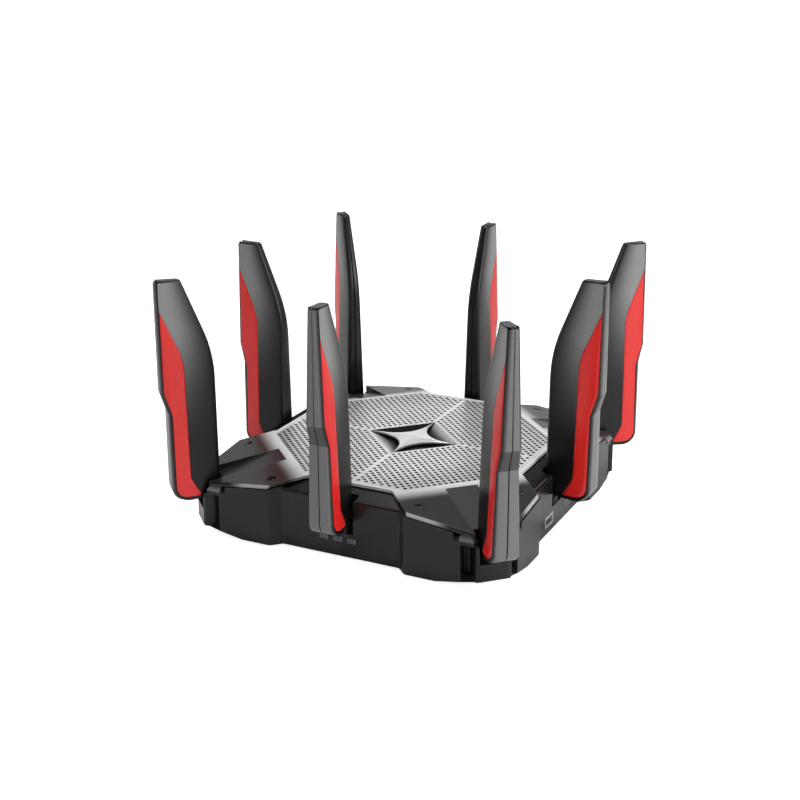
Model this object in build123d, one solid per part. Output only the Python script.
from build123d import *
from math import atan, cos, sin, sqrt, tan, radians
import os

# Wireless router with eight fin antennas.
# Origin: centre of the footprint on the surface it stands on. +Z up.
# Front is -Y, right is +X. Everything is in millimetres.

# ---- body, seen from above
BODY_HALF = 120.0  # centre to the outer face of a corner lobe
RECESS_HALF = 113.0  # centre to a recessed side wall
LOBE_START = 51.4  # from a side's middle to the lobe's outer face
CORNER_REACH = 158.6  # centre to the flat across a corner, along the diagonal
WALL = 2.6
OUTLINE_ROUND = 4.0
HALF_TURN_SHIFT = tan(radians(22.5))  # how far a 135 degree corner moves along its side per mm of inset

# ---- body, heights
FOOT_HEIGHT = 1.5
PLATE_THICKNESS = 2.0
PLATEAU_Z = 49.0
WING_START = 94.0  # along the diagonal, where the cover starts to fall
WING_SLOPE = 0.16
COVER_THICKNESS = 2.0
COVER_GAP = 0.4
RECESS_TOP = 42.5
RAMP_TOP = 46.0
RAMP_START = 110.2
RAMP_END = 98.5
UNDERSIDE_START = 137.0  # along the diagonal, where the underside starts to rise
UNDERSIDE_SLOPE = 0.24
BROW_START = 86.0  # along a side, where the wall's top becomes round
BROW_END = 104.0
BROW_RADIUS = 4.5
BROW_Z = 32.6  # where the wall starts to turn inwards

# ---- cover
COVER_HALF = 119.0
COVER_MIDDLE = 97.5  # centre to the cover's edge at a side's middle
COVER_MIDDLE_HALF = 31.5
COVER_CORNER = 154.0
COVER_EDGE = 1.5  # chamfer along the wings' outer edges
CHANNEL_HALF = 11.5
CHANNEL_START = 98.5
CHANNEL_SLOPE = 0.26
GRILLE_HALF = 94.0
GRILLE_CORNER = 92.5
GRILLE_PITCH = 8.0
GRILLE_HOLE = 4.6
GRILLE_BAND = 4.0  # half the width of the closed bands along X and Y
EMBLEM_REACH = 36.8  # centre to a corner of the emblem
EMBLEM_BORDER = 2.6
STAR_WAIST = 6.5
COVER_SCREWS = [(56.3, 107.0), (107.0, 56.3)]

# ---- antennas: x across the thickness, y inwards from the outer edge, z up
SIDE_REACH = 144.5
CORNER_FIN_REACH = 183.5
FIN_TOP = 182.0
FIN_TOP_DEPTH = 18.0
FIN_DEPTH = 38.5
FIN_BEND_Z = 129.4
FIN_BOTTOM = 26.0
STEP_DEPTH = 4.5
STEP_LOW_Z = 90.0
STEP_HIGH_Z = 104.5
TOP_HALF_THICKNESS = 4.0
FIN_TAPER = 0.037
EDGE_INSET = 1.8
EDGE_DEPTH = 2.2
SHELL_WALL = 2.6
SEAM = 0.1
INLAY_THICKNESS = 1.3
INLAY_GAP = 0.15
PIN_Y = 26.5
PIN_Z = 38.0
FOOT_RADIUS = 12.0
PIN_RADIUS = 1.5
PIN_CLEARANCE = 0.06
LUG_HALF = 4.0
LUG_START = 19.6  # the foot is open round the hinge arm from here inwards
LUG_TOP = 42.0  # and up to this height
BOARD_HALF = 0.6

# ---- pockets that the antennas stand in
POCKET_HALF = 10.2
POCKET_FLOOR = 18.5
POCKET_WALL = 2.0
POCKET_BACK = 14.5  # behind the hinge pin

# ---- inside
MAIN_BOARD_Z = 10.0
MAIN_BOARD_THICKNESS = 1.6
MAIN_BOARD_HALF = 94.0
MAIN_BOARD_CORNER = 112.0
PORT_LOW_Z = 3.9
PORT_HIGH_Z = 16.1
PORT_DEPTH = 17.5
BUTTON_TRAVEL = 0.8
BUTTON_GAP = 0.2
FRONT_BUTTONS = {"wifi_button": -12.0, "wps_button": -1.5, "light_button": 9.0}
FRONT_BUTTON_Z = 14.0
FRONT_BUTTON_WIDTH = 6.4
FRONT_BUTTON_HEIGHT = 3.6
POWER_BUTTON_Z = 9.5
POWER_BUTTON_WIDTH = 11.0
POWER_BUTTON_HEIGHT = 8.0
RESET_Y = 22.0
RESET_RADIUS = 1.1
JACK_Y = -25.0
JACK_Z = 9.7
USB_A_Y = -15.0
USB_C_Y = 22.0
USB_Z = 10.4
FOOT_PLACE = 84.0  # centre to a rubber foot along X and along Y
BOARD_SCREW_PLACE = 70.0

SIDES = {"front": 0, "right": 90, "back": 180, "left": 270}
CORNERS = {"front_right": 45, "back_right": 135, "back_left": 225, "front_left": 315}
ROOM = 400.0  # larger than the whole object, for cutting blocks
LOW = (Align.CENTER, Align.CENTER, Align.MIN)
HIGH = (Align.CENTER, Align.CENTER, Align.MAX)
DIAGONAL = sqrt(0.5)


def turned(points, angle):
    """The same points turned about the vertical axis."""
    c, s = cos(radians(angle)), sin(radians(angle))
    return [(c * x - s * y, s * x + c * y) for x, y in points]


def all_round(front_points):
    """A closed face from one side's points, repeated on the four sides."""
    points = []
    for angle in SIDES.values():
        points += turned(front_points, angle)
    return make_face(Polyline(*points, close=True))


def block(x, y, z):
    """A box between three pairs of limits."""
    size = [b - a for a, b in (x, y, z)]
    middle = [(a + b) / 2 for a, b in (x, y, z)]
    return Pos(*middle) * Box(*size)


def profile_prism(points, low_x, high_x):
    """A prism along X whose section is given in Y and Z."""
    face = Plane.YZ * make_face(Polyline(*points, close=True))
    return Pos(low_x, 0, 0) * extrude(face, high_x - low_x, dir=(1, 0, 0))


def post(x, y, radius, low, high):
    """An upright cylinder between two heights."""
    return Pos(x, y, low) * Cylinder(radius, high - low, align=LOW)


def lobe_outline(inset):
    """Outline of the body: four lobes with recessed walls between them."""
    shift = inset * HALF_TURN_SHIFT
    outer = BODY_HALF - inset
    recess = RECESS_HALF - inset
    corner = CORNER_REACH / DIAGONAL - BODY_HALF - shift
    lobe = LOBE_START + shift
    step = lobe - (BODY_HALF - RECESS_HALF)
    half = [(step, -recess), (lobe, -outer), (corner, -outer)]
    return all_round([(-x, y) for x, y in reversed(half)] + half)


def cover_outline():
    """Outline of the cover: straight in the middle of each side, with four wings."""
    wing = COVER_MIDDLE_HALF + COVER_HALF - COVER_MIDDLE
    corner = COVER_CORNER / DIAGONAL - COVER_HALF
    half = [(COVER_MIDDLE_HALF, -COVER_MIDDLE), (wing, -COVER_HALF), (corner, -COVER_HALF)]
    return all_round([(-x, y) for x, y in reversed(half)] + half)


def octagon(half, corner):
    """A square of the given half width with its corners cut at a diagonal distance."""
    x = corner / DIAGONAL - half
    return all_round([(-x, -half), (x, -half)])


def diamond(reach):
    return make_face(Polyline((reach, 0), (0, reach), (-reach, 0), (0, -reach), close=True))


def diagonal_plane(angle, distance, height, slope):
    """Plane across one diagonal that falls outwards by slope."""
    x, y = turned([(0, -1)], angle)[0]
    return Plane(origin=(distance * x, distance * y, height), z_dir=(slope * x, slope * y, 1))


def under_cover(solid, drop):
    """Cuts off what stands above the cover's top surface lowered by drop."""
    solid -= Pos(0, 0, PLATEAU_Z - drop) * Box(ROOM, ROOM, ROOM, align=LOW)
    for angle in CORNERS.values():
        plane = diagonal_plane(angle, WING_START, PLATEAU_Z - drop, WING_SLOPE)
        solid -= plane * Box(ROOM, ROOM, ROOM, align=LOW)
    return solid


def above_underside(solid):
    """Cuts the rising underside at the tip of each corner."""
    for angle in CORNERS.values():
        plane = diagonal_plane(angle, UNDERSIDE_START, FOOT_HEIGHT, -UNDERSIDE_SLOPE)
        solid -= plane * Box(ROOM, ROOM, ROOM, align=HIGH)
    return solid


def hinge_places():
    """Each antenna's name, turn about Z and reach from the centre to its outer edge."""
    places = [(name, angle, SIDE_REACH) for name, angle in SIDES.items()]
    return places + [(name, angle, CORNER_FIN_REACH) for name, angle in CORNERS.items()]


def at_antenna(shape, angle, reach):
    """Moves a shape from an antenna's own frame to its place on the body."""
    return Rot(0, 0, angle) * Pos(0, -reach, 0) * shape


def screw_points():
    """The eight screw places, two on each wing."""
    points = []
    for angle in SIDES.values():
        points += turned([(x, -y) for x, y in COVER_SCREWS], angle)
    return points


def cover_height(x, y):
    """Height of the cover's top surface on a wing."""
    return PLATEAU_Z - WING_SLOPE * ((abs(x) + abs(y)) * DIAGONAL - WING_START)


# ---- base case

def pocket_space(reach):
    """The free space of one pocket, open outwards and upwards, in the antenna's frame."""
    back = PIN_Y + POCKET_BACK
    return block((-POCKET_HALF, POCKET_HALF), (-20, back), (POCKET_FLOOR, PLATEAU_Z + 5))


def side_roof():
    """Front wall's lip and the ramp that rises from it to the cover, as a section."""
    return [
        (-RECESS_HALF, FOOT_HEIGHT),
        (-RECESS_HALF, RECESS_TOP - 1.2),
        (-RECESS_HALF + 1.2, RECESS_TOP),
        (-RAMP_START, RECESS_TOP),
        (-RAMP_START, RECESS_TOP - 1.1),
        (-RAMP_END, RAMP_TOP),
        (-COVER_MIDDLE + 3, RAMP_TOP),
        (-COVER_MIDDLE + 3, FOOT_HEIGHT),
    ]


def ramp():
    """The sloping strip between the recessed wall's lip and the cover."""
    y = -RAMP_START
    foot = RECESS_TOP - 1.1
    points = [(y - 1, RECESS_TOP - 4), (y - 1, foot), (y, foot), (-RAMP_END, RAMP_TOP)]
    points += [(-COVER_MIDDLE + 3, RAMP_TOP), (-COVER_MIDDLE + 3, RAMP_TOP - 2), (-RAMP_END, RAMP_TOP - 2)]
    return profile_prism(points, -LOBE_START, LOBE_START)


def side_pocket():
    """Walls and floor of the pocket in the middle of a recessed side."""
    back = -(SIDE_REACH - PIN_Y - POCKET_BACK - POCKET_WALL)
    half = POCKET_HALF + POCKET_WALL
    low = POCKET_FLOOR - POCKET_WALL
    room = block((-half, half), (-RECESS_HALF, back), (low, PLATEAU_Z))
    return room & profile_prism(side_roof(), -half, half)


def corner_window():
    """The upright dark recess on one side of a corner's flat, with a sloping sill."""
    back = BODY_HALF - 7.5
    cheek = (POCKET_HALF + POCKET_WALL) / DIAGONAL
    out = BODY_HALF + 5
    plan = [(91.5, -out), (out - cheek, -out), (back - cheek, -back), (91.5, -back)]
    section = [(-back, 31), (-back, 8.5), (-back - 3, 8.5), (-BODY_HALF - 1, 3.4), (-out, 3.4), (-out, 31)]
    upright = extrude(make_face(Polyline(*plan, close=True)), 60)
    return upright & profile_prism(section, 90, 115)


def brow_beam():
    """Thickens the wall's top edge over a corner window."""
    beam = block((BROW_START, BROW_END), (-BODY_HALF + 1, -BODY_HALF + 7), (31.5, 45))
    return under_cover(beam, COVER_THICKNESS + COVER_GAP)


def brow_cut():
    """What the rounded top edge over a corner window leaves out."""
    y = -BODY_HALF + BROW_RADIUS
    room = block((BROW_START, BROW_END), (-BODY_HALF - 5, y), (BROW_Z, 60))
    return room - Pos(BROW_START, y, BROW_Z) * Rot(0, 90, 0) * Cylinder(BROW_RADIUS, 60)


def base_case():
    """Side walls, corner blocks, pockets, ramps and screw posts, moulded as one."""
    outline = lobe_outline(0)
    outline = fillet(outline.vertices(), OUTLINE_ROUND)
    full = Pos(0, 0, FOOT_HEIGHT) * extrude(outline, 60)
    hollow = Pos(0, 0, FOOT_HEIGHT) * extrude(lobe_outline(WALL), 60)
    corner_back = CORNER_FIN_REACH - PIN_Y - POCKET_BACK - POCKET_WALL
    core = extrude(octagon(BODY_HALF + 5, corner_back), 80)
    case = under_cover(full - (hollow & core), COVER_THICKNESS + COVER_GAP)
    for angle in SIDES.values():
        middle = LOBE_START - (BODY_HALF - RECESS_HALF)
        opening = block((-middle, middle), (-BODY_HALF - 5, -COVER_MIDDLE), (RECESS_TOP, 60))
        edge = -RECESS_HALF - 1
        lip = [(edge, RECESS_TOP + 1), (edge, RECESS_TOP - 2.2), (-RECESS_HALF + 2.2, RECESS_TOP + 1)]
        case -= Rot(0, 0, angle) * (opening + profile_prism(lip, -middle, middle))
        strip = under_cover(Rot(0, 0, angle) * ramp(), COVER_THICKNESS + COVER_GAP) & full
        case += strip + Rot(0, 0, angle) * side_pocket()
    for x, y in screw_points():
        top = cover_height(x, y) - COVER_THICKNESS - COVER_GAP - 1
        low = FOOT_HEIGHT + PLATE_THICKNESS
        case += under_cover(post(x, y, 4, low, top + 4), COVER_THICKNESS + COVER_GAP)
        if abs(y) > abs(x):
            rib = block((x - 1, x + 1), sorted((y, y * (BODY_HALF - 1) / abs(y))), (low, top - 3))
        else:
            rib = block(sorted((x, x * (BODY_HALF - 1) / abs(x))), (y - 1, y + 1), (low, top - 3))
        case += rib
    for angle in SIDES.values():
        for turn, window, beam, cut in (
            (angle, corner_window(), brow_beam(), brow_cut()),
            (angle + 90, *(mirror(part, Plane.YZ) for part in (corner_window(), brow_beam(), brow_cut()))),
        ):
            case += Rot(0, 0, turn) * beam
            case -= Rot(0, 0, turn) * window
            case -= Rot(0, 0, turn) * cut
    for name, angle, reach in hinge_places():
        case -= at_antenna(pocket_space(reach), angle, reach)
        case -= at_antenna(post(0, PIN_Y + 10, 2.7, 0, POCKET_FLOOR + 1), angle, reach)
    for x, y in screw_points():
        case -= post(x, y, 1.25, cover_height(x, y) - 12, cover_height(x, y) + 5)
        case -= post(x, y, 1.25, 0, FOOT_HEIGHT + PLATE_THICKNESS + 8)
    for angle in SIDES.values():
        case -= Rot(0, 0, angle) * channel(COVER_THICKNESS + COVER_GAP)
    case -= wall_cutouts()
    return above_underside(case)


def wall_cutouts():
    """Openings in the walls for the ports and buttons."""
    back = [block((-41, 21), (RECESS_HALF - 5, RECESS_HALF + 5), (PORT_LOW_Z - 0.1, PORT_HIGH_Z + 0.1))]
    back.append(block((24, 41), (RECESS_HALF - 5, RECESS_HALF + 5), (PORT_LOW_Z - 0.1, PORT_HIGH_Z + 0.1)))
    cutouts = Part() + back
    for place in FRONT_BUTTONS.values():
        cutouts += front_button_hole(place)
    power_hole = Box(12, POWER_BUTTON_WIDTH + 2 * BUTTON_GAP, POWER_BUTTON_HEIGHT + 2 * BUTTON_GAP)
    cutouts += Pos(-RECESS_HALF, 0, POWER_BUTTON_Z) * power_hole
    cutouts += Pos(-RECESS_HALF, RESET_Y, POWER_BUTTON_Z) * Rot(0, 90, 0) * Cylinder(RESET_RADIUS + 0.2, 12)
    cutouts += Pos(-RECESS_HALF, JACK_Y, JACK_Z) * Box(12, 9.2, 11.2)
    cutouts += Pos(RECESS_HALF, USB_A_Y, USB_Z) * Box(12, 15.2, 8.2)
    cutouts += Pos(RECESS_HALF, USB_C_Y, USB_Z) * Box(12, 9.2, 3.6)
    return cutouts


def front_button_hole(x):
    size = (FRONT_BUTTON_WIDTH + 2 * BUTTON_GAP, 12, FRONT_BUTTON_HEIGHT + 2 * BUTTON_GAP)
    return Pos(x, -RECESS_HALF, FRONT_BUTTON_Z) * Box(*size)


# ---- cover, grille and emblem

def channel(depth):
    """The sunk channel on one diagonal, whose floor falls towards the antenna."""
    start_z = PLATEAU_Z - WING_SLOPE * (CHANNEL_START - WING_START) - depth
    plane = diagonal_plane(CORNERS["front_right"], CHANNEL_START, start_z, CHANNEL_SLOPE)
    half = CHANNEL_HALF + depth * 0.75
    strip = Rot(0, 0, 45) * block((-half, half), (-CORNER_REACH - 20, -CHANNEL_START + depth), (0, 80))
    return strip & (plane * Box(ROOM, ROOM, ROOM, align=LOW))


def cover_solid(drop):
    """Everything under the cover's top surface lowered by drop."""
    solid = under_cover(Pos(0, 0, 20) * extrude(cover_outline(), 60), drop)
    for angle in SIDES.values():
        solid -= Rot(0, 0, angle) * channel(drop)
    return solid


def wing_edge_plane(side):
    """Plane at 45 degrees across the outer edge of the left or right wing at the front."""
    x, y = side * 0.5 * COVER_HALF, -COVER_HALF + COVER_EDGE
    return Plane(origin=(x, y, cover_height(x, y)), z_dir=(side * WING_SLOPE * DIAGONAL, -1, 1))


def top_cover():
    """The four wings and the rim round the grille."""
    cover = cover_solid(0) - cover_solid(COVER_THICKNESS)
    cover -= extrude(octagon(GRILLE_HALF, GRILLE_CORNER), 80)
    for angle in CORNERS.values():
        room = block((-POCKET_HALF - 0.2, POCKET_HALF + 0.2), (-20, PIN_Y + POCKET_BACK + 0.2), (20, 80))
        cover -= at_antenna(room, angle, CORNER_FIN_REACH)
    for angle in SIDES.values():
        for side in (-1, 1):
            cover -= Rot(0, 0, angle) * (wing_edge_plane(side) * Box(ROOM, ROOM, ROOM, align=LOW))
    for x, y in screw_points():
        cover -= post(x, y, 3.4, cover_height(x, y) - 1.0, 60)
        cover -= post(x, y, 1.7, 20, 60)
    return cover


def grille_panel():
    """The flat middle of the top, with square holes set along the diagonals."""
    outer = octagon(GRILLE_HALF, GRILLE_CORNER).wire()
    inner = [diamond(EMBLEM_REACH).wire()]
    count = int(GRILLE_HALF / GRILLE_PITCH * 1.5)
    half = GRILLE_HOLE / 2
    edge = GRILLE_HALF - 2.2 - GRILLE_HOLE * DIAGONAL
    for i in range(-count, count + 1):
        for j in range(-count, count + 1):
            u = (i + 0.5) * GRILLE_PITCH
            v = (j + 0.5) * GRILLE_PITCH
            x, y = (u - v) * DIAGONAL, (u + v) * DIAGONAL
            inside = abs(x) < edge and abs(y) < edge and max(abs(u), abs(v)) < GRILLE_CORNER - half - 1
            clear_of_bands = min(abs(x), abs(y)) > GRILLE_BAND
            clear_of_emblem = abs(x) + abs(y) > EMBLEM_REACH + 1.2 + GRILLE_HOLE / 2 / DIAGONAL
            if inside and clear_of_bands and clear_of_emblem:
                hole = Pos(x, y, 0) * Rot(0, 0, 45) * Rectangle(GRILLE_HOLE, GRILLE_HOLE)
                inner.append(hole.wire())
    plate = extrude(Face(outer, inner), COVER_THICKNESS)
    return Pos(0, 0, PLATEAU_Z - COVER_THICKNESS) * plate


def emblem_frame():
    """Diamond border with a raised four-armed star across it."""
    border = diamond(EMBLEM_REACH - 0.15) - diamond(EMBLEM_REACH - EMBLEM_BORDER / DIAGONAL)
    arms = []
    for angle in SIDES.values():
        waist = STAR_WAIST * DIAGONAL
        arms += turned([(0, EMBLEM_BORDER - EMBLEM_REACH), (waist, -waist)], angle)
    star = make_face(Polyline(*arms, close=True))
    frame = Pos(0, 0, PLATEAU_Z - 2) * extrude(border + star, 2.4)
    return frame


def emblem_lens():
    """The sunk facets between the star's arms."""
    tray = Pos(0, 0, PLATEAU_Z - 4) * extrude(diamond(EMBLEM_REACH - 0.15), 2)
    return tray


# ---- bottom

def bottom_plate():
    """Closes the case from below, with cooling slots, screw holes and four posts for the main board."""
    outline = extrude(lobe_outline(WALL + 0.2), PLATE_THICKNESS)
    outline &= extrude(octagon(BODY_HALF, UNDERSIDE_START - 1), PLATE_THICKNESS)
    plate = Pos(0, 0, FOOT_HEIGHT) * outline
    for row in range(-4, 5):
        for side in (-1, 1):
            plate -= Pos(side * 38, row * 16, FOOT_HEIGHT) * Box(56, 4, 10)
    for x, y in screw_points():
        plate -= post(x, y, 1.6, 0, 10)
    low = FOOT_HEIGHT + PLATE_THICKNESS
    for x, y in board_screw_points():
        plate += post(x, y, 3.2, low - 0.5, MAIN_BOARD_Z) - post(x, y, 1.2, low + 1, 20)
    return plate


def rubber_feet():
    feet = [Pos(x, y, 0) * Cylinder(8, FOOT_HEIGHT, align=LOW) for x, y in foot_points()]
    return Part() + [chamfer(f.edges().group_by(Axis.Z)[0], 0.4) for f in feet]


def foot_points():
    points = []
    for angle in SIDES.values():
        points += turned([(FOOT_PLACE, -FOOT_PLACE)], angle)
    return points


def base_screws():
    """Four screws up through the bottom plate."""
    screws = []
    for x, y in screw_points()[::2]:
        head = post(x, y, 2.8, FOOT_HEIGHT - 1.1, FOOT_HEIGHT)
        screws.append(head + post(x, y, 1.2, FOOT_HEIGHT - 0.1, FOOT_HEIGHT + 8))
    return Part() + screws


def cover_screws():
    """Eight screws down through the wings, with cross-slotted heads."""
    screws = []
    for x, y in screw_points():
        z = cover_height(x, y) - 1.0
        cross = Box(3.4, 0.8, 1) + Box(0.8, 3.4, 1)
        head = Pos(x, y, z) * Cylinder(2.9, 0.9, align=LOW) - Pos(x, y, z + 0.9) * cross
        screws.append(head + post(x, y, 1.2, z - 9, z + 0.1))
    return Part() + screws


# ---- inside

def main_board():
    outline = octagon(MAIN_BOARD_HALF, MAIN_BOARD_CORNER)
    board = Pos(0, 0, MAIN_BOARD_Z) * extrude(outline, MAIN_BOARD_THICKNESS)
    for x, y in board_screw_points():
        board -= post(x, y, 1.6, 0, 20)
    return board


def board_screw_points():
    points = []
    for angle in SIDES.values():
        points += turned([(BOARD_SCREW_PLACE, -BOARD_SCREW_PLACE)], angle)
    return points


def board_screws():
    screws = []
    top = MAIN_BOARD_Z + MAIN_BOARD_THICKNESS
    for x, y in board_screw_points():
        screws.append(post(x, y, 2.6, top, top + 1.6) + post(x, y, 1.15, top - 5, top + 0.1))
    return Part() + screws


def processor_chips():
    """The processor and the three radio chips under the heatsink."""
    top = MAIN_BOARD_Z + MAIN_BOARD_THICKNESS
    chips = [Pos(0, 0, top) * Box(22, 22, 2, align=LOW)]
    for x, y in ((-36, 0), (36, 0), (0, 36)):
        chips.append(Pos(x, y, top) * Box(14, 14, 2, align=LOW))
    return Part() + chips


def heatsink():
    """Aluminium plate with upright fins over the chips."""
    base = MAIN_BOARD_Z + MAIN_BOARD_THICKNESS + 2
    sink = Pos(0, 6, base) * Box(110, 96, 3, align=LOW)
    for row in range(-6, 7):
        sink += Pos(row * 8.5, 6, base + 3) * Box(1.4, 96, 20, align=LOW)
    return sink


def rf_shields():
    """Pressed metal covers over the radio circuits."""
    top = MAIN_BOARD_Z + MAIN_BOARD_THICKNESS
    shields = []
    for x, y, wide, deep in ((-74, 20, 26, 60), (74, 20, 26, 60), (0, -66, 70, 28)):
        can = Pos(x, y, top) * (Box(wide, deep, 4, align=LOW) - Box(wide - 1, deep - 1, 3.5, align=LOW))
        shields.append(can)
    return Part() + shields


def light_board():
    """Thin board with the light sources under the emblem."""
    return Pos(0, 0, PLATEAU_Z - 5.2) * extrude(diamond(EMBLEM_REACH - 8), 1.2)


def socket_space(x):
    """The mouth of one network socket, with the notch for the plug's catch."""
    back = RECESS_HALF - 14
    mouth = block((x - 5.9, x + 5.9), (back, RECESS_HALF + 2), (PORT_LOW_Z + 3, PORT_HIGH_Z - 1.2))
    notch = block((x - 3.1, x + 3.1), (back, RECESS_HALF + 2), (PORT_LOW_Z + 1, PORT_LOW_Z + 3.1))
    return mouth + notch


def port_block(low_x, high_x, centres):
    """A network connector body with its sockets."""
    body = block((low_x, high_x), (RECESS_HALF - PORT_DEPTH, RECESS_HALF), (PORT_LOW_Z, PORT_HIGH_Z))
    for x in centres:
        body -= socket_space(x)
    return body


def lan_ports():
    return port_block(-40.9, 20.9, [-33.2, -17.7, -2.3, 13.2])


def wan_port():
    return port_block(24.1, 40.9, [32.5])


def power_jack():
    """Round power inlet with its centre pin."""
    body = Pos(-RECESS_HALF, JACK_Y, JACK_Z) * Box(14, 9, 11, align=(Align.MIN, Align.CENTER, Align.CENTER))
    hole = Pos(-RECESS_HALF - 1, JACK_Y, JACK_Z) * Rot(0, 90, 0) * Cylinder(3.2, 12, align=LOW)
    pin = Pos(-RECESS_HALF + 1, JACK_Y, JACK_Z) * Rot(0, 90, 0) * Cylinder(1.0, 11, align=LOW)
    return body - hole + pin


def usb_a_port():
    """Metal shell with an insulating tongue and a plastic bezel."""
    face = RECESS_HALF
    body = block((face - 15, face), (USB_A_Y - 7.5, USB_A_Y + 7.5), (USB_Z - 4, USB_Z + 4))
    body -= block((face - 12, face + 1), (USB_A_Y - 6.3, USB_A_Y + 6.3), (USB_Z - 2.6, USB_Z + 2.6))
    return body + block((face - 13, face - 1.5), (USB_A_Y - 5.2, USB_A_Y + 5.2), (USB_Z + 0.3, USB_Z + 2.1))


def usb_c_port():
    face = RECESS_HALF
    section = Plane.YZ * SlotOverall(9.0, 3.3)
    hollow = Plane.YZ * SlotOverall(8.3, 2.6)
    body = Pos(face - 8, USB_C_Y, USB_Z) * extrude(section, 8, dir=(1, 0, 0))
    body -= Pos(face - 7, USB_C_Y, USB_Z) * extrude(hollow, 8, dir=(1, 0, 0))
    return body + block((face - 7.5, face - 1), (USB_C_Y - 3, USB_C_Y + 3), (USB_Z - 0.35, USB_Z + 0.35))


# ---- buttons

def front_button(x):
    """Push button cap with a flange that keeps it behind the wall."""
    face = -RECESS_HALF - 0.9
    inner = -RECESS_HALF + WALL + BUTTON_TRAVEL
    half = FRONT_BUTTON_WIDTH / 2
    tall = FRONT_BUTTON_HEIGHT / 2
    z = FRONT_BUTTON_Z
    cap = block((x - half, x + half), (face, inner), (z - tall, z + tall))
    cap = chamfer(cap.faces().sort_by(Axis.Y)[0].edges(), 0.4)
    low = -RECESS_HALF + WALL + 0.3
    return cap + block((x - half - 0.8, x + half + 0.8), (low, low + 1.4), (z - tall - 0.7, z + tall + 0.5))


def power_button():
    """Larger push button on the left side."""
    face = -RECESS_HALF - 1.6
    half = POWER_BUTTON_WIDTH / 2
    tall = POWER_BUTTON_HEIGHT / 2
    z = POWER_BUTTON_Z
    low = -RECESS_HALF + WALL + 0.3
    cap = block((face, low + 1), (-half, half), (z - tall, z + tall))
    cap = chamfer(cap.faces().sort_by(Axis.X)[0].edges(), 0.6)
    return cap + block((low, low + 1.5), (-half - 1, half + 1), (z - tall - 1, z + tall + 1))


def reset_button():
    """Small plunger behind a hole, pressed with a pin."""
    low = -RECESS_HALF + WALL + 0.3
    place = Pos(-RECESS_HALF + 0.8, RESET_Y, POWER_BUTTON_Z) * Rot(0, 90, 0)
    stem = place * Cylinder(RESET_RADIUS, 3.6, align=LOW)
    return stem + Pos(low, RESET_Y, POWER_BUTTON_Z) * Rot(0, 90, 0) * Cylinder(2.2, 1.5, align=LOW)


def button_boards():
    """Two upright boards with the switches that the buttons press."""
    low = FOOT_HEIGHT + PLATE_THICKNESS
    front = block((-18, 15), (-107.0, -105.4), (low, 16))
    for x in FRONT_BUTTONS.values():
        front += block((x - 2, x + 2), (-107.7, -106.9), (FRONT_BUTTON_Z - 1.6, FRONT_BUTTON_Z + 1.6))
    left = block((-107.0, -105.4), (-8, 28), (low, 16))
    left += block((-107.5, -106.9), (-2.5, 2.5), (POWER_BUTTON_Z - 2.5, POWER_BUTTON_Z + 2.5))
    low, high = POWER_BUTTON_Z - 1.5, POWER_BUTTON_Z + 1.5
    left += block((-107.7, -106.9), (RESET_Y - 1.5, RESET_Y + 1.5), (low, high))
    return Part() + [front, left]


# ---- antennas

def half_thickness(z):
    return TOP_HALF_THICKNESS + FIN_TAPER * (FIN_TOP - z)


def broad_plane(depth):
    """Plane of the +X broad face, moved inwards by depth. Its axes are y and z."""
    lean = atan(FIN_TAPER)
    return Plane(origin=(half_thickness(0) - depth, 0, 0), x_dir=(0, 1, 0), z_dir=(cos(lean), 0, sin(lean)))


def fin_outline():
    """Side view of an antenna, from its outer edge inwards."""
    points = [(0, FIN_TOP), (FIN_TOP_DEPTH, FIN_TOP), (FIN_DEPTH, FIN_BEND_Z), (FIN_DEPTH, FIN_BOTTOM)]
    points += [(STEP_DEPTH, FIN_BOTTOM), (STEP_DEPTH, STEP_LOW_Z), (0, STEP_HIGH_Z)]
    radii = [2.5, 2.5, 95.0, FOOT_RADIUS, 9.0, 1.0, 1.0]
    return make_face(FilletPolyline(*points, radius=radii, close=True))


def inlay_outline():
    """Side view of the red inlay: a blade that widens at the foot."""
    points = [(2.1, 162.0), (17.0, 127.0), (17.6, 41.5), (25.0, 28.6)]
    points += [(7.4, 28.6), (7.4, 88.0), (2.1, 103.4)]
    radii = [0.3, 45.0, 10.0, 1.0, 7.6, 1.0, 1.0]
    return make_face(FilletPolyline(*points, radius=radii, close=True))


def fin_half():
    """The +X half of a solid antenna with bevelled edges."""
    plane = broad_plane(EDGE_DEPTH)
    outline = fin_outline()
    core = extrude(plane * outline, -14)
    crest = broad_plane(0) * offset(outline, -EDGE_INSET, kind=Kind.INTERSECTION)
    rim = loft([plane * outline, crest], ruled=True)
    return (core + rim) - block((-30, SEAM), (-50, 80), (0, 200))


def fin_hollow():
    """The space inside the +X half."""
    inner = offset(fin_outline(), -2.4, kind=Kind.INTERSECTION)
    solid = extrude(broad_plane(SHELL_WALL) * inner, -14)
    return solid - block((-30, 0), (-50, 80), (0, 200))


def hinge_boss():
    """Boss inside one half that turns on the hinge pin."""
    length = half_thickness(PIN_Z) - 2 - LUG_HALF - 0.35
    return Pos(LUG_HALF + 0.35, PIN_Y, PIN_Z) * Rot(0, 90, 0) * Cylinder(5, length, align=LOW)


def antenna_shell():
    """The +X half shell, with its recess for the inlay and its hinge boss."""
    shell = fin_half() - fin_hollow()
    shell -= block((-LUG_HALF - 0.6, LUG_HALF + 0.6), (LUG_START, 60), (0, LUG_TOP))
    shell += hinge_boss()
    bore = Pos(0, PIN_Y, PIN_Z) * Rot(0, 90, 0) * Cylinder(PIN_RADIUS + PIN_CLEARANCE, 7.1, align=LOW)
    recess = offset(inlay_outline(), INLAY_GAP)
    return shell - bore - extrude(broad_plane(INLAY_THICKNESS + 0.1) * recess, 5)


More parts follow.
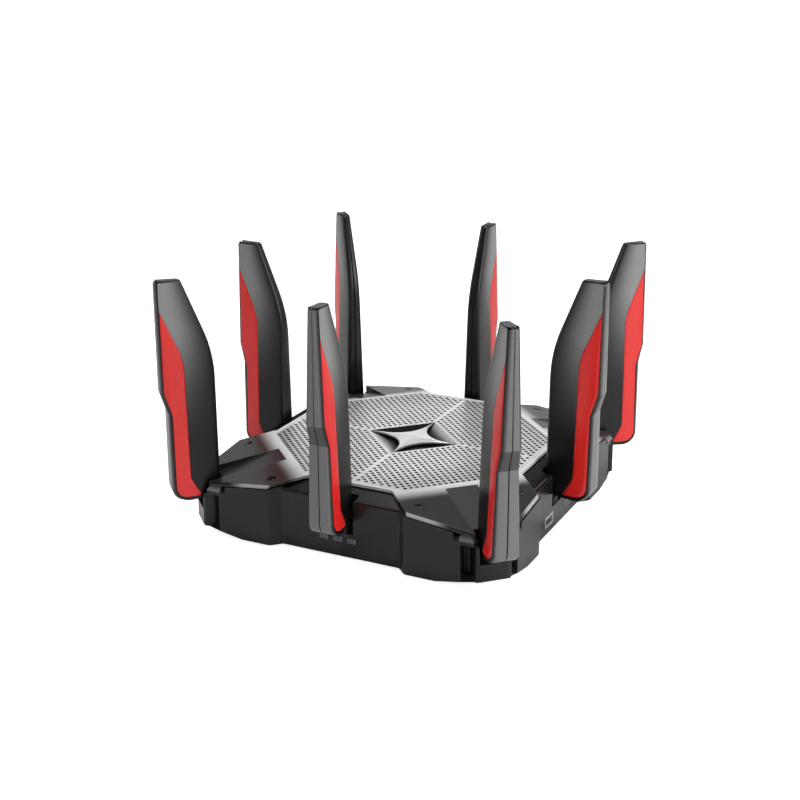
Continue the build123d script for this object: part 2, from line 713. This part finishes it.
def antenna_inlay():
    return extrude(broad_plane(INLAY_THICKNESS + 0.1) * inlay_outline(), INLAY_THICKNESS)


def antenna_board():
    """Printed radiator between the two shells."""
    board = extrude(Plane.YZ * offset(fin_outline(), -4.2, kind=Kind.INTERSECTION), BOARD_HALF, both=True)
    return board - block((-5, 5), (-50, 80), (0, 56))


def antenna_socket():
    """Fixed arm of a hinge, with the connector that goes through the pocket's floor."""
    foot_y = PIN_Y + 10
    foot = block((-LUG_HALF, LUG_HALF), (foot_y - 4, foot_y + 4), (POCKET_FLOOR, POCKET_FLOOR + 6))
    low = Vector(0, foot_y, POCKET_FLOOR + 5.5)
    high = Vector(0, PIN_Y, PIN_Z)
    along = (high - low).normalized()
    side = Vector(0, along.Z, -along.Y) * 4
    corners = [(p.Y, p.Z) for p in (low + side, high + side, high - side, low - side)]
    arm = profile_prism(corners, -LUG_HALF, LUG_HALF)
    lying = Rot(0, 90, 0)
    knuckle = Pos(0, PIN_Y, PIN_Z) * lying * Cylinder(4.5, 2 * LUG_HALF)
    heel = Pos(0, foot_y, POCKET_FLOOR + 5.5) * lying * Cylinder(4, 2 * LUG_HALF)
    connector = post(0, foot_y, 2.6, POCKET_FLOOR - POCKET_WALL, POCKET_FLOOR + 1)
    bore = Pos(0, PIN_Y, PIN_Z) * lying * Cylinder(PIN_RADIUS, 20)
    return foot + arm + knuckle + heel + connector - bore


def hinge_pin():
    return Pos(0, PIN_Y, PIN_Z) * Rot(0, 90, 0) * Cylinder(PIN_RADIUS, 13.6)


# ---- write every sub-part

def save(name, shape):
    export_step(shape, "parts/" + name + ".step")


os.makedirs("parts", exist_ok=True)

save("base_case", base_case())
save("bottom_plate", bottom_plate())
save("top_cover", top_cover())
save("grille_panel", grille_panel())
save("emblem_frame", emblem_frame())
save("emblem_lens", emblem_lens())
save("light_board", light_board())
save("main_board", main_board())
save("board_screws", board_screws())
save("processor_chips", processor_chips())
save("heatsink", heatsink())
save("rf_shields", rf_shields())
save("lan_ports", lan_ports())
save("wan_port", wan_port())
save("power_jack", power_jack())
save("usb_a_port", usb_a_port())
save("usb_c_port", usb_c_port())
save("power_button", power_button())
save("reset_button", reset_button())
save("button_boards", button_boards())
save("rubber_feet", rubber_feet())
save("base_screws", base_screws())
save("cover_screws", cover_screws())
for button, place in FRONT_BUTTONS.items():
    save(button, front_button(place))

right_shell = antenna_shell()
left_shell = mirror(right_shell, Plane.YZ)
inlay = antenna_inlay()
inlays = Part() + [inlay, mirror(inlay, Plane.YZ)]
radiator = antenna_board()
socket = antenna_socket()
pin = hinge_pin()
for name, angle, reach in hinge_places():
    prefix = "antenna_" + name
    save(prefix + "_shell_a", at_antenna(right_shell, angle, reach))
    save(prefix + "_shell_b", at_antenna(left_shell, angle, reach))
    save(prefix + "_inlays", at_antenna(inlays, angle, reach))
    save(prefix + "_radiator", at_antenna(radiator, angle, reach))
sockets = [at_antenna(socket, angle, reach) for name, angle, reach in hinge_places()]
save("antenna_sockets", Part() + sockets)
save("hinge_pins", Part() + [at_antenna(pin, angle, reach) for name, angle, reach in hinge_places()])
